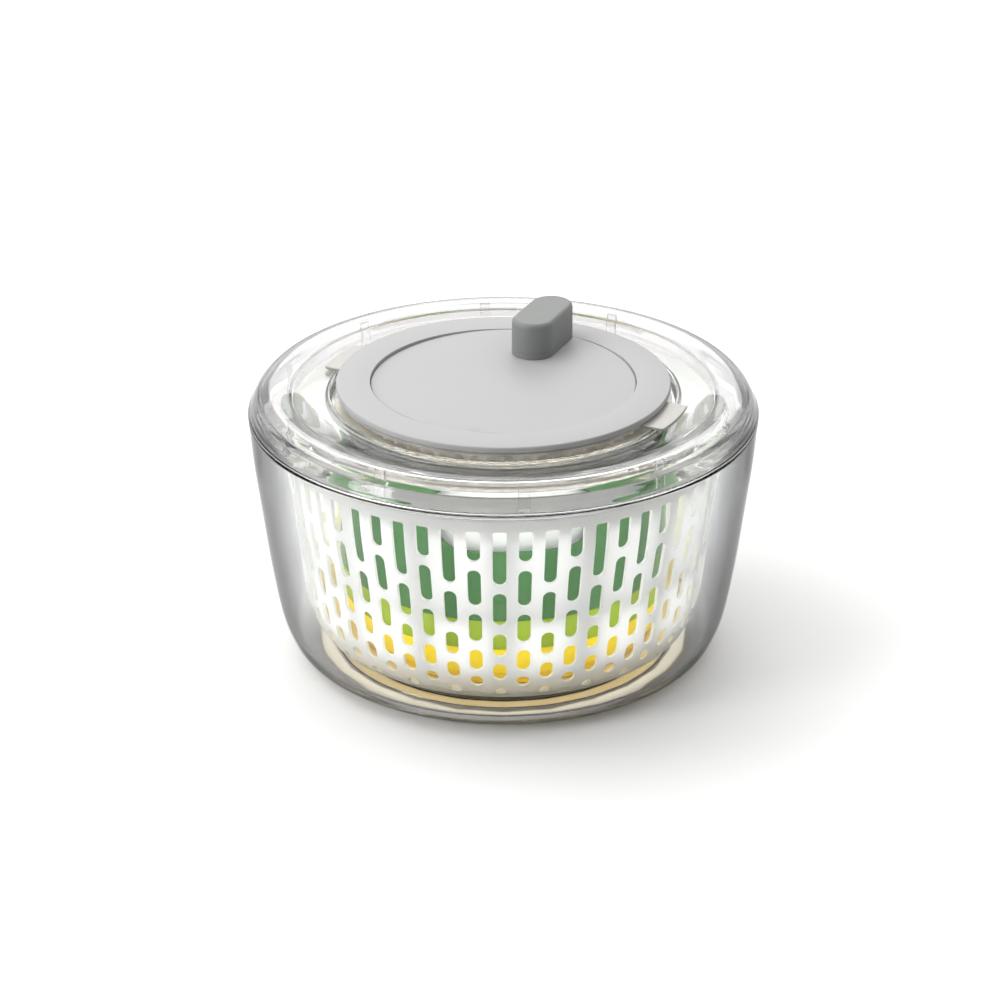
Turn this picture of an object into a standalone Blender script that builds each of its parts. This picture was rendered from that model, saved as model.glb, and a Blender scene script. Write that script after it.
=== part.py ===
"""Salad spinner with four preparation tools stored in its basket.

A clear bowl holds a slotted basket on a centre pivot. The clear lid carries a
planetary gear unit: the disc on top is the crank and the planet carrier, the
housing holds the fixed ring gear, and the small centre gear turns the basket
five times for each turn of the crank.

Sizes are in millimetres until MM turns them into metres. +Z is up, and the
origin is the centre of the underside.
"""
import math

import bmesh
import bpy
from mathutils import Matrix, Vector

MM = 0.001
GAP = 0.35

# Bowl
BOWL_RIM_R = 128.4
BOWL_RIM_Z = 127.7
BOWL_WALL = 2.5
BOWL_BASE_R = 88.0
BOWL_FLOOR_Z = 4.0
BOWL_PART_Z = 25.0
BOWL_PART_OUTER_R = 115.6
BOWL_PART_INNER_R = 113.0
FOOT_INNER_R = 79.0
FOOT_OUTER_R = 87.0
FOOT_GROOVE_Z = 2.6
PIVOT_R = 7.5
PIVOT_TOP_Z = 18.5
ROUND_STEPS = 36

# Basket
BASKET_FLOOR_Z = 10.0
BASKET_WALL = 1.8
BASKET_RIM_R = 119.0
BASKET_RIM_Z = 123.5
SLOT_COUNT = 56
SLOT_WIDTH = 6.7
WALL_LOW_Z = 27.0
WALL_HIGH_Z = 112.0
HOOP_HEIGHT = 3.0
RIM_UNDER_Z = 119.3
NOTCH_HALF_WIDTH = 7.0
HUB_INNER_R = 11.4
HUB_OUTER_R = 14.0
HUB_TOP_Z = 23.6
HUB_ROOF_Z = 21.4

# Lid
LID_R = 128.4
LID_EDGE_Z = 128.2
LID_CREST_R = 116.0
LID_CREST_Z = 141.3
LID_RING_R = 123.0
LID_RING_LOW_Z = 124.0
LID_RING_TOP_Z = 136.2
LID_RING_WALL = 2.0
INNER_RIB_R = 107.0
INNER_RIB_LOW_Z = 129.6
WELL_LIP_OUTER_R = 88.4
WELL_LIP_INNER_R = 85.4
WELL_LIP_Z = 137.75
WELL_SHELF_Z = 131.4
WELL_HOLE_R = 79.8

# Gear train
GEAR_MODULE = 3.0
RING_TEETH = 48
PLANET_TEETH = 18
SUN_TEETH = 12
PLANET_COUNT = 3
PRESSURE_ANGLE = math.radians(20)
ADDENDUM = 0.75 * GEAR_MODULE
DEDENDUM = 1.0 * GEAR_MODULE
FLANK_PLAY = 0.35
GEAR_LOW_Z = 127.0
GEAR_HIGH_Z = 133.5
CARRIER_ARM = GEAR_MODULE * (SUN_TEETH + PLANET_TEETH) / 2
PLANET_BORE_R = 3.5
PIN_R = 3.0

# Gear housing and the parts that turn in it
HOUSING_R = 78.4
HOUSING_LOW_Z = 125.5
HOUSING_TOP_Z = 138.4
FLANGE_LOW_Z = 138.1
FLANGE_TOP_Z = 139.65
FLANGE_BORE_R = 71.5
COLLAR_OUTER_R = 84.8
COLLAR_INNER_R = 76.4
COLLAR_THICK = 1.8
TAB_R = 94.5
TAB_HALF_ANGLE = math.radians(11)
COVER_R = 78.0
COVER_BORE_R = 9.6
COVER_LOW_Z = 123.2
COVER_TOP_Z = 125.1
CARRIER_R = 51.5
CARRIER_LOW_Z = 134.2
CARRIER_TOP_Z = 137.2
TUBE_R = 8.6
TUBE_LOW_Z = 119.2
SPIDER_HUB_R = 16.0
SPIDER_ARM_HALF_WIDTH = 5.0
SPIDER_ARM_R = 118.0
SPIDER_BORE_R = 8.95
SPIDER_LOW_Z = 119.7
SPIDER_TOP_Z = 121.9

# Crank disc and knob
DISC_R = 84.0
DISC_LOW_Z = 140.0
DISC_TOP_Z = 143.3
PAD_R = 68.0
PAD_LOW_Z = 137.6
RECESS_R = 66.9
RECESS_DEPTH = 1.7
KNOB_AZIMUTH = math.radians(66.4)
KNOB_RADIUS = 50.1
KNOB_HALF_LENGTH = 22.8
KNOB_HALF_WIDTH = 11.1
KNOB_BASE_Z = DISC_TOP_Z + 0.05
KNOB_TOP_Z = 162.3
KNOB_FILLET = 2.2
KNOB_SCREW_R = 1.6
KNOB_SCREW_TOP_Z = 152.0
TAB_AZIMUTHS = (math.radians(-25), math.radians(155))

# Stored tools
BLADE_LENGTH = 84.0
BLADE_WIDTH = 15.0
BLADE_THICK = 0.9
COARSE_BLADE_Z = 32.15
SLICER_BLADE_Z = 58.75
GRATER_PLATE_R = 68.0
GRATER_PLATE_LOW_Z = 46.85
PRONG_COUNT = 8
PRONG_LENGTH = 36.0


def clear_scene():
    for old in list(bpy.data.objects):
        bpy.data.objects.remove(old, do_unlink=True)


def plastic(name, colour, roughness=0.35, metallic=0.0, transmission=0.0):
    material = bpy.data.materials.new(name)
    material.use_nodes = True
    shader = material.node_tree.nodes["Principled BSDF"]
    shader.inputs["Base Color"].default_value = (*colour, 1.0)
    shader.inputs["Roughness"].default_value = roughness
    shader.inputs["Metallic"].default_value = metallic
    shader.inputs["Transmission Weight"].default_value = transmission
    return material


def polar(radius, angle, z=0.0):
    return Vector((radius * math.cos(angle), radius * math.sin(angle), z))


def arc(cx, cz, radius, start_deg, end_deg, steps):
    """Points of a profile arc in the (r, z) plane."""
    span = math.radians(end_deg - start_deg)
    angles = [math.radians(start_deg) + span * i / steps for i in range(steps + 1)]
    return [(cx + radius * math.cos(a), cz + radius * math.sin(a)) for a in angles]


def add_object(name, bm, material, origin=(0.0, 0.0, 0.0), smooth=40):
    """Turn a bmesh in millimetres into a named object whose origin is given in millimetres."""
    bmesh.ops.recalc_face_normals(bm, faces=bm.faces)
    to_metres = Matrix.Scale(MM, 4) @ Matrix.Translation(-Vector(origin))
    bmesh.ops.transform(bm, matrix=to_metres, verts=bm.verts)
    mesh = bpy.data.meshes.new(name)
    bm.to_mesh(mesh)
    bm.free()
    mesh.shade_smooth()
    mesh.set_sharp_from_angle(angle=math.radians(smooth))
    mesh.materials.append(material)
    piece = bpy.data.objects.new(name, mesh)
    piece.location = Vector(origin) * MM
    bpy.context.scene.collection.objects.link(piece)
    return piece


def turned(profile, steps=ROUND_STEPS, start=0.0):
    """Solid of revolution about Z; the profile is closed, or starts and ends on the axis."""
    bm = bmesh.new()
    verts = [bm.verts.new(polar(r, start, z)) for r, z in profile]
    edges = [bm.edges.new(pair) for pair in zip(verts, verts[1:])]
    if profile[0][0] > 0:
        edges.append(bm.edges.new((verts[-1], verts[0])))
    bmesh.ops.spin(bm, geom=verts + edges, cent=(0, 0, 0), axis=(0, 0, 1),
                   angle=2 * math.pi, steps=steps, use_merge=True)
    bmesh.ops.remove_doubles(bm, verts=bm.verts, dist=0.001)
    return bm


def plate(outlines, low_z, high_z):
    """Flat plate between two heights; the first outline is its edge and the rest are holes."""
    bm = bmesh.new()
    edges = []
    for outline in outlines:
        verts = [bm.verts.new((x, y, low_z)) for x, y in outline]
        edges += [bm.edges.new((verts[i - 1], verts[i])) for i in range(len(verts))]
    bmesh.ops.triangle_fill(bm, use_beauty=True, use_dissolve=False, edges=edges)
    raised = bmesh.ops.extrude_face_region(bm, geom=bm.faces[:])
    moved = [item for item in raised["geom"] if isinstance(item, bmesh.types.BMVert)]
    bmesh.ops.translate(bm, verts=moved, vec=(0, 0, high_z - low_z))
    return bm


def circle(radius, steps, cx=0.0, cy=0.0, phase=0.0):
    turn = 2 * math.pi / steps
    points = [polar(radius, phase + turn * i) for i in range(steps)]
    return [(cx + p.x, cy + p.y) for p in points]


def box_outline(length, width, cx=0.0, cy=0.0, angle=0.0):
    corners = [(-1, -1), (1, -1), (1, 1), (-1, 1)]
    turn = Matrix.Rotation(angle, 2)
    points = [turn @ Vector((sx * length / 2, sy * width / 2)) for sx, sy in corners]
    return [(cx + p.x, cy + p.y) for p in points]


def obround(half_length, half_width, steps=8):
    """Outline with straight sides and round ends, its long axis along X."""
    reach = half_length - half_width
    outline = []
    for side in (1, -1):
        for i in range(steps + 1):
            angle = -math.pi / 2 + math.pi * i / steps
            outline.append((side * (reach + half_width * math.cos(angle)),
                            side * half_width * math.sin(angle)))
    return outline


def combine(target, tool, operation):
    """Boolean of two objects; the tool stays in the file as a hidden wire guide."""
    tool.hide_render = True
    tool.display_type = "WIRE"
    modifier = target.modifiers.new(operation.title(), "BOOLEAN")
    modifier.operation = operation
    modifier.solver = "EXACT"
    modifier.object = tool


def involute(angle):
    return math.tan(angle) - angle


def tooth_half_angle(teeth, radius, play):
    """Half the angle that an external tooth fills at a radius, less the play on one flank."""
    pitch_r = GEAR_MODULE * teeth / 2
    base_r = pitch_r * math.cos(PRESSURE_ANGLE)
    pressure = math.acos(min(1.0, base_r / radius))
    half = math.pi / (2 * teeth) + involute(PRESSURE_ANGLE) - involute(pressure)
    return half - play / radius


def gear_outline(teeth, phase, internal=False):
    """Outline of a spur gear; an internal gear's teeth are the spaces of an external one."""
    pitch_r = GEAR_MODULE * teeth / 2
    if internal:
        radii = [pitch_r - ADDENDUM, pitch_r + DEDENDUM]
        play = -FLANK_PLAY
    else:
        radii = [pitch_r - DEDENDUM, pitch_r, pitch_r + ADDENDUM]
        play = FLANK_PLAY
    halves = [tooth_half_angle(teeth, r, play) for r in radii]
    outline = []
    for tooth in range(teeth):
        centre = phase + 2 * math.pi * tooth / teeth
        flank = list(zip(radii, halves))
        points = [(r, centre - h) for r, h in flank] + [(r, centre + h) for r, h in reversed(flank)]
        outline += [tuple(polar(r, a).xy) for r, a in points]
    return outline


def make_bowl(material):
    """Base of the bowl: floor, foot groove, centre pivot and the rounded corner below the wall."""
    outer = [(FOOT_INNER_R, FOOT_GROOVE_Z), (FOOT_OUTER_R, FOOT_GROOVE_Z), (FOOT_OUTER_R, 0.9),
             (BOWL_BASE_R + 1, 0.6), (96.0, 1.2), (103.0, 3.0), (108.6, 7.0), (112.2, 14.0),
             (BOWL_PART_OUTER_R, BOWL_PART_Z)]
    inner = [(BOWL_PART_INNER_R, BOWL_PART_Z), (109.8, 15.0), (106.6, 9.6), (101.8, 6.2),
             (95.0, 4.4), (BOWL_BASE_R, BOWL_FLOOR_Z)]
    pivot = [(12.0, BOWL_FLOOR_Z), (9.0, 5.2), (PIVOT_R, 8.0), (PIVOT_R, PIVOT_TOP_Z - 1.5),
             (PIVOT_R - 2.0, PIVOT_TOP_Z), (0.0, PIVOT_TOP_Z)]
    underside = [(0.0, 1.4), (FOOT_INNER_R, 1.4)]
    return add_object("bowl", turned(underside + outer + inner + pivot), material)


def make_bowl_wall(material):
    """Wall of the bowl from its rounded corner up to the rim."""
    outer = [(BOWL_PART_OUTER_R, BOWL_PART_Z), (119.8, 50.0), (123.6, 80.0), (126.6, 105.0),
             (BOWL_RIM_R, BOWL_RIM_Z - 1.0), (BOWL_RIM_R - 0.3, BOWL_RIM_Z)]
    inner = [(BOWL_RIM_R - BOWL_WALL + 0.3, BOWL_RIM_Z), (BOWL_RIM_R - BOWL_WALL, BOWL_RIM_Z - 1.0),
             (124.1, 105.0), (121.1, 80.0), (117.3, 50.0), (BOWL_PART_INNER_R, BOWL_PART_Z)]
    return add_object("bowl_wall", turned(outer + inner), material)


def make_foot_ring(material):
    inner_r = FOOT_INNER_R + GAP
    outer_r = FOOT_OUTER_R - GAP
    top_z = FOOT_GROOVE_Z - GAP
    profile = [(inner_r, 0.4), (inner_r + 0.4, 0.0), (outer_r - 0.4, 0.0), (outer_r, 0.4),
               (outer_r, top_z), (inner_r, top_z)]
    return add_object("foot_ring", turned(profile), material)


def make_pivot_bush(material):
    inner_r = PIVOT_R + 0.5
    outer_r = HUB_INNER_R - 0.4
    roof_z = PIVOT_TOP_Z + GAP
    profile = [(0.0, roof_z), (inner_r, roof_z), (inner_r, 8.4), (outer_r, 8.4),
               (outer_r, HUB_ROOF_Z - GAP - 0.6), (outer_r - 0.6, HUB_ROOF_Z - GAP),
               (0.0, HUB_ROOF_Z - GAP)]
    return add_object("pivot_bush", turned(profile, 24), material)


def basket_wall_radius(z):
    """Outer radius of the basket's wall between the floor's corner and the rim."""
    heights = [20.0, WALL_LOW_Z, 39.0, 67.0, 98.0, WALL_HIGH_Z, RIM_UNDER_Z]
    radii = [98.0, 100.4, 102.9, 105.9, 110.9, 112.4, 113.0]
    for low, high, r_low, r_high in zip(heights, heights[1:], radii, radii[1:]):
        if z <= high:
            return r_low + (r_high - r_low) * (z - low) / (high - low)
    return radii[-1]


def make_basket(material):
    """Dish of the basket, with the raised hub that turns on the bowl's pivot."""
    floor_z = BASKET_FLOOR_Z
    wall = [(basket_wall_radius(z), z) for z in (20.0, WALL_LOW_Z)]
    under = [(HUB_INNER_R, HUB_ROOF_Z), (HUB_INNER_R, floor_z), (80.0, floor_z), (88.0, 11.2),
             (94.5, 14.8)]
    inner = [(r - BASKET_WALL, z) for r, z in reversed(wall)]
    floor = [(92.8, 16.6), (87.0, 13.2), (79.5, floor_z + BASKET_WALL),
             (HUB_OUTER_R, floor_z + BASKET_WALL), (HUB_OUTER_R - 0.8, HUB_TOP_Z), (0.0, HUB_TOP_Z)]
    profile = [(0.0, HUB_ROOF_Z)] + under + wall + inner + floor
    return add_object("basket", turned(profile, SLOT_COUNT), material)


def make_basket_wall(material):
    """Wall of the basket between dish and rim: upright ribs with a tall slot between every two."""
    half_slot = SLOT_WIDTH / 2 / basket_wall_radius(67.0)
    levels = [WALL_LOW_Z, WALL_LOW_Z + HOOP_HEIGHT, 67.0, WALL_HIGH_Z - HOOP_HEIGHT, WALL_HIGH_Z]
    bm = bmesh.new()
    outer = []
    inner = []
    for slot in range(SLOT_COUNT):
        middle = 2 * math.pi * slot / SLOT_COUNT
        for angle in (middle - half_slot, middle + half_slot):
            radii = [(basket_wall_radius(z), z) for z in levels]
            outer.append([bm.verts.new(polar(r, angle, z)) for r, z in radii])
            inner.append([bm.verts.new(polar(r - BASKET_WALL, angle, z)) for r, z in radii])
    columns = 2 * SLOT_COUNT
    last_row = len(levels) - 2
    for a in range(columns):
        b = (a + 1) % columns
        for side in (outer, inner):
            for row in range(last_row + 1):
                if a % 2 == 0 and 0 < row < last_row:
                    continue
                bm.faces.new([side[a][row], side[b][row], side[b][row + 1], side[a][row + 1]])
        for level in (0, last_row + 1):
            bm.faces.new([outer[a][level], outer[b][level], inner[b][level], inner[a][level]])
        for row in range(1, last_row):
            bm.faces.new([outer[a][row], outer[a][row + 1], inner[a][row + 1], inner[a][row]])
        if a % 2 == 0:
            for level in (1, last_row):
                bm.faces.new([outer[a][level], outer[b][level], inner[b][level], inner[a][level]])
    return add_object("basket_wall", bm, material)


def make_basket_rim(material):
    """Band and turned-out lip above the slots, with a notch for each arm of the drive spider."""
    wall = [(basket_wall_radius(z), z) for z in (WALL_HIGH_Z, RIM_UNDER_Z)]
    lip = [(BASKET_RIM_R, 121.0), (BASKET_RIM_R, BASKET_RIM_Z), (wall[-1][0] - 1.0, BASKET_RIM_Z)]
    inner = [(r - BASKET_WALL, z) for r, z in reversed(wall)]
    rim = add_object("basket_rim", turned(wall + lip + inner, SLOT_COUNT), material)
    combine(rim, rim_notch_cutter(), "DIFFERENCE")
    return rim


def arm_angles():
    return [math.radians(90 + 120 * i) for i in range(3)]


def rim_notch_cutter():
    bm = bmesh.new()
    for angle in arm_angles():
        middle = polar(116.0, angle, 124.0)
        notch = bmesh.ops.create_cube(bm, size=1.0)
        turn = Matrix.Translation(middle) @ Matrix.Rotation(angle, 4, "Z")
        shape = Matrix.Diagonal((12.0, 2 * NOTCH_HALF_WIDTH, 9.4, 1.0))
        bmesh.ops.transform(bm, matrix=turn @ shape, verts=notch["verts"])
    return add_object("rim_notch_cutter", bm, bpy.data.materials["basket_white"])


def make_lid_shell(material):
    """Crowned top of the lid with the skirt that covers the bowl's rim."""
    outside = [(LID_R - 0.5, LID_EDGE_Z), (LID_R, LID_EDGE_Z + 0.5), (LID_R - 0.3, 129.4),
               (126.9, 131.2), (126.2, 133.0), (125.3, 135.0), (124.0, 137.0), (122.4, 138.7),
               (120.0, 140.4), (LID_CREST_R, LID_CREST_Z), (112.0, 140.9), (106.0, 139.5),
               (100.0, 137.9), (95.0, 137.1), (WELL_LIP_OUTER_R, 136.6)]
    rib = [(INNER_RIB_R - 0.8, 136.9), (INNER_RIB_R - 0.8, INNER_RIB_LOW_Z),
           (INNER_RIB_R + 0.8, INNER_RIB_LOW_Z), (INNER_RIB_R + 0.8, 137.3)]
    underside = [(WELL_LIP_OUTER_R, 134.2), (95.0, 134.6), (100.0, 135.3)] + rib
    underside += [(112.0, 138.2), (LID_CREST_R, 138.7), (119.2, 137.8),
                  (LID_RING_R - LID_RING_WALL, LID_RING_TOP_Z)]
    skirt = [(LID_RING_R, LID_RING_TOP_Z), (123.6, 134.5), (124.6, 131.5), (125.4, LID_EDGE_Z)]
    return add_object("lid_shell", turned(outside + underside + skirt), material)


def make_lid_ring(material):
    """Ring under the crown that drops inside the bowl's rim and centres the lid."""
    inner_r = LID_RING_R - LID_RING_WALL
    profile = [(inner_r, LID_RING_LOW_Z), (LID_RING_R, LID_RING_LOW_Z), (LID_RING_R, LID_RING_TOP_Z),
               (inner_r, LID_RING_TOP_Z)]
    return add_object("lid_ring", turned(profile), material)


def make_lid_well(material):
    """Upstanding lip and shelf around the lid's centre, where the gear housing sits."""
    profile = [(WELL_LIP_OUTER_R, WELL_LIP_Z), (WELL_LIP_INNER_R, WELL_LIP_Z),
               (WELL_LIP_INNER_R, WELL_SHELF_Z), (WELL_HOLE_R, WELL_SHELF_Z),
               (WELL_HOLE_R, WELL_SHELF_Z - 2.0), (WELL_LIP_OUTER_R, WELL_SHELF_Z - 2.0)]
    return add_object("lid_well", turned(profile), material)


def tab_outline():
    """Edge of the housing's flange: a circle with two finger tabs that stand out past the disc."""
    outline = []
    for degree in range(0, 360, 6):
        angle = math.radians(degree)
        offsets = [abs((angle - tab + math.pi) % (2 * math.pi) - math.pi) for tab in TAB_AZIMUTHS]
        radius = TAB_R if min(offsets) < TAB_HALF_ANGLE else DISC_R - 0.8
        outline.append(tuple(polar(radius, angle).xy))
    return outline


def make_gear_housing(material):
    """Fixed ring gear with the flange under the disc and the collar that sits on the lid's shelf."""
    teeth = gear_outline(RING_TEETH, 0.0, internal=True)
    ring = plate([circle(HOUSING_R, RING_TEETH), teeth], HOUSING_LOW_Z, HOUSING_TOP_Z)
    housing = add_object("gear_housing", ring, material)
    flange_plate = plate([tab_outline(), circle(FLANGE_BORE_R, 36)], FLANGE_LOW_Z, FLANGE_TOP_Z)
    flange = add_object("housing_flange_guide", flange_plate, material)
    collar_low = WELL_SHELF_Z + GAP
    collar_outlines = [circle(COLLAR_OUTER_R, 36), circle(COLLAR_INNER_R, 36)]
    collar_plate = plate(collar_outlines, collar_low, collar_low + COLLAR_THICK)
    collar = add_object("housing_collar_guide", collar_plate, material)
    combine(housing, flange, "UNION")
    combine(housing, collar, "UNION")
    return housing


def make_gear_cover(material):
    outlines = [circle(COVER_R, 40), circle(COVER_BORE_R, 20)]
    return add_object("gear_cover", plate(outlines, COVER_LOW_Z, COVER_TOP_Z), material)


def knob_centre():
    return polar(KNOB_RADIUS, KNOB_AZIMUTH)


def recess_floor_z(x, y):
    """Height of the disc's inner face: level along the knob's axis, lower to either side of it."""
    across = y * math.cos(KNOB_AZIMUTH) - x * math.sin(KNOB_AZIMUTH)
    depth = RECESS_DEPTH * (across / RECESS_R) ** 2
    return DISC_TOP_Z - max(depth, 0.1)


def make_handle_disc(material):
    """Crank disc: a thin round plate over a thicker pad, its inner face sunk between two low sides."""
    profile = [(0.0, 139.9), (PIN_R + GAP, 139.9), (PIN_R + GAP, PAD_LOW_Z), (PAD_R, PAD_LOW_Z),
               (PAD_R, DISC_LOW_Z), (DISC_R - 0.6, DISC_LOW_Z), (DISC_R, DISC_LOW_Z + 0.6),
               (DISC_R, DISC_TOP_Z - 0.5), (DISC_R - 0.5, DISC_TOP_Z), (RECESS_R, DISC_TOP_Z),
               (RECESS_R, DISC_TOP_Z - RECESS_DEPTH / 2), (0.0, DISC_TOP_Z - RECESS_DEPTH / 2)]
    bm = turned(profile, 48)
    for vert in bm.verts:
        if abs(vert.co.z - (DISC_TOP_Z - RECESS_DEPTH / 2)) < 0.01:
            vert.co.z = recess_floor_z(vert.co.x, vert.co.y)
    disc = add_object("handle_disc", bm, material)
    low_z = PAD_LOW_Z - 1.0
    bore = [(0.0, low_z), (4.6, low_z), (4.6, 138.6), (2.0, 138.6), (2.0, 146.0), (0.0, 146.0)]
    cutter = turned(bore, 12)
    bmesh.ops.translate(cutter, verts=cutter.verts, vec=knob_centre())
    combine(disc, add_object("knob_screw_hole_cutter", cutter, material), "DIFFERENCE")
    return disc


def make_knob(material):
    """Oblong knob with a rounded top edge and a bore for its screw."""
    bm = bmesh.new()
    verts = [bm.verts.new((x, y, KNOB_BASE_Z)) for x, y in obround(KNOB_HALF_LENGTH, KNOB_HALF_WIDTH)]
    base = bm.faces.new(verts)
    raised = bmesh.ops.extrude_face_region(bm, geom=[base])
    top = [item for item in raised["geom"] if isinstance(item, bmesh.types.BMVert)]
    bmesh.ops.translate(bm, verts=top, vec=(0, 0, KNOB_TOP_Z - KNOB_BASE_Z))
    rim = [edge for edge in bm.edges if all(vert in top for vert in edge.verts)]
    bmesh.ops.bevel(bm, geom=rim, offset=KNOB_FILLET, segments=3, profile=0.5, affect="EDGES")
    place = Matrix.Translation(knob_centre()) @ Matrix.Rotation(KNOB_AZIMUTH, 4, "Z")
    bmesh.ops.transform(bm, matrix=place, verts=bm.verts)
    knob = add_object("knob", bm, material)
    hole_r = KNOB_SCREW_R + GAP
    hole_low = KNOB_BASE_Z - 1.0
    hole_top = KNOB_SCREW_TOP_Z + GAP
    hole = turned([(0.0, hole_low), (hole_r, hole_low), (hole_r, hole_top), (0.0, hole_top)], 12)
    bmesh.ops.translate(hole, verts=hole.verts, vec=knob_centre())
    combine(knob, add_object("knob_hole_cutter", hole, material), "DIFFERENCE")
    return knob


def make_knob_screw(material):
    profile = [(0.0, 137.7), (4.1, 137.7), (4.1, 138.3), (KNOB_SCREW_R, 138.3),
               (KNOB_SCREW_R, KNOB_SCREW_TOP_Z), (0.0, KNOB_SCREW_TOP_Z)]
    bm = turned(profile, 12)
    bmesh.ops.translate(bm, verts=bm.verts, vec=knob_centre())
    return add_object("knob_screw", bm, material)


def planet_centres():
    return [polar(CARRIER_ARM, 2 * math.pi * i / PLANET_COUNT) for i in range(PLANET_COUNT)]


def make_planet_carrier(material):
    holes = [circle(PIN_R + GAP, 12, c.x, c.y) for c in planet_centres()]
    outlines = [circle(CARRIER_R, 36), circle(PIN_R + GAP, 12)] + holes
    return add_object("planet_carrier", plate(outlines, CARRIER_LOW_Z, CARRIER_TOP_Z), material)


def make_planet(index, centre, gear_material, pin_material):
    phase = 2 * math.pi * index / PLANET_COUNT
    place = (centre.x, centre.y, 0.0)
    gear = plate([gear_outline(PLANET_TEETH, phase), circle(PLANET_BORE_R, 12)], GEAR_LOW_Z, GEAR_HIGH_Z)
    bmesh.ops.translate(gear, verts=gear.verts, vec=centre)
    add_object("planet_gear_%d" % (index + 1), gear, gear_material, place, smooth=20)
    pin = turned([(0.0, 125.5), (4.8, 125.5), (4.8, 126.6), (PIN_R, 126.6), (PIN_R, 137.1), (0.0, 137.1)],
                 12)
    bmesh.ops.translate(pin, verts=pin.verts, vec=centre)
    add_object("planet_pin_%d" % (index + 1), pin, pin_material)


def make_sun_gear(material):
    bore = circle(PLANET_BORE_R, 12)
    phase = math.pi / SUN_TEETH
    gear = add_object("sun_gear", plate([gear_outline(SUN_TEETH, phase), bore], GEAR_LOW_Z, GEAR_HIGH_Z),
                      material, smooth=20)
    wide_bore = circle(PLANET_BORE_R + 0.01, 12)
    tube_plate = plate([circle(TUBE_R, 20), wide_bore], TUBE_LOW_Z, GEAR_LOW_Z + 0.5)
    tube = add_object("sun_tube_guide", tube_plate, material)
    combine(gear, tube, "UNION")
    return gear


def make_drive_spider(material):
    """Three flat arms from the sun gear's tube out to the notches in the basket's rim."""
    outline = []
    half = SPIDER_ARM_HALF_WIDTH
    root = math.sqrt(SPIDER_HUB_R ** 2 - half ** 2)
    for angle in arm_angles():
        turn = Matrix.Rotation(angle - math.pi / 2, 2)
        for x, y in ((half, root), (half, SPIDER_ARM_R), (-half, SPIDER_ARM_R), (-half, root)):
            outline.append(tuple(turn @ Vector((x, y))))
        outline.append(tuple(polar(SPIDER_HUB_R, angle + math.radians(50)).xy))
        outline.append(tuple(polar(SPIDER_HUB_R, angle + math.radians(70)).xy))
    outlines = [outline, circle(SPIDER_BORE_R, 20)]
    return add_object("drive_spider", plate(outlines, SPIDER_LOW_Z, SPIDER_TOP_Z), material)


def make_thrust_washer(material):
    return add_object("thrust_washer", plate([circle(9.5, 20), circle(3.4, 12)], 118.0, 118.9), material)


def make_centre_screw(material):
    profile = [(0.0, 115.4), (6.4, 115.4), (7.2, 116.2), (7.2, 117.7), (PIN_R, 117.7), (PIN_R, 139.5),
               (0.0, 139.5)]
    return add_object("centre_screw", turned(profile, 16), material)


def upright_cutter(name, outline, depth, material, place):
    """Extrude an (x, z) outline along Y and put it where the matrix says."""
    bm = plate([outline], -depth / 2, depth / 2)
    stand = Matrix.Rotation(math.radians(90), 4, "X")
    bmesh.ops.transform(bm, matrix=place @ stand, verts=bm.verts)
    return add_object(name, bm, material)


def notch_outline(low_z, high_z):
    """Wide U with round lower corners and sides that flare upwards."""
    low_half = 38.0
    high_half = 50.0
    corner = 11.0
    right = arc(low_half - corner, low_z + corner, corner, -90, 0, 5)
    left = [(-x, z) for x, z in reversed(right)]
    return right + [(high_half, high_z), (-high_half, high_z)] + left


def make_slicer_body(material):
    """Tall green ring with a slicing deck and a wide notch in its front wall."""
    profile = [(0.0, 56.0), (81.6, 56.0), (81.6, 50.6), (84.0, 50.6), (84.0, 112.4), (83.4, 113.0),
               (82.2, 113.0), (81.6, 112.4), (81.6, 58.4), (0.0, 58.4)]
    body = add_object("slicer_body", turned(profile), material)
    place = Matrix.Rotation(math.radians(4), 4, "Z") @ Matrix.Translation((0, -76, 0))
    combine(body, upright_cutter("front_notch_cutter", notch_outline(87.0, 116.0), 30.0, material, place),
            "DIFFERENCE")
    slot = plate([box_outline(66.0, 22.0, 0.0, 12.0)], 54.0, 60.0)
    combine(body, add_object("slicer_slot_cutter", slot, material), "DIFFERENCE")
    return body


def make_blade(name, cy, low_z, material):
    outline = box_outline(BLADE_LENGTH, BLADE_WIDTH, 0.0, cy)
    return add_object(name, plate([outline], low_z, low_z + BLADE_THICK), material)


def make_food_grip(material):
    """Upturned cup with a finger knob on top and prongs inside."""
    profile = [(0.0, 104.0), (75.8, 104.0), (75.8, 58.8), (78.0, 58.8), (78.0, 105.5), (76.2, 107.0),
               (20.0, 107.0), (15.0, 110.0), (13.0, 112.6), (11.0, 113.4), (0.0, 113.4)]
    grip = add_object("food_grip", turned(profile), material)
    prongs = bmesh.new()
    for i in range(PRONG_COUNT):
        middle = polar(26.0 if i % 2 else 42.0, math.radians(360 / PRONG_COUNT * i + 10), 87.0)
        bmesh.ops.create_cone(prongs, cap_ends=True, segments=8, radius1=1.0, radius2=2.2,
                              depth=PRONG_LENGTH, matrix=Matrix.Translation(middle))
    combine(grip, add_object("grip_prong_guide", prongs, material), "UNION")
    return grip


def make_grater_body(material):
    """Low ring that carries the grating plate."""
    profile = [(62.0, 44.5), (80.6, 44.5), (80.6, 34.3), (83.0, 34.3), (83.0, 50.2), (80.6, 50.2),
               (80.6, 46.5), (62.0, 46.5)]
    return add_object("grater_body", turned(profile), material)


def make_grater_plate(material):
    holes = []
    for radius, count in ((22.0, 6), (44.0, 12)):
        holes += [circle(4.0, 8, *polar(radius, 2 * math.pi * i / count).xy) for i in range(count)]
    outlines = [circle(GRATER_PLATE_R, 36)] + holes
    top_z = GRATER_PLATE_LOW_Z + BLADE_THICK
    return add_object("grater_plate", plate(outlines, GRATER_PLATE_LOW_Z, top_z), material)


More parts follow.
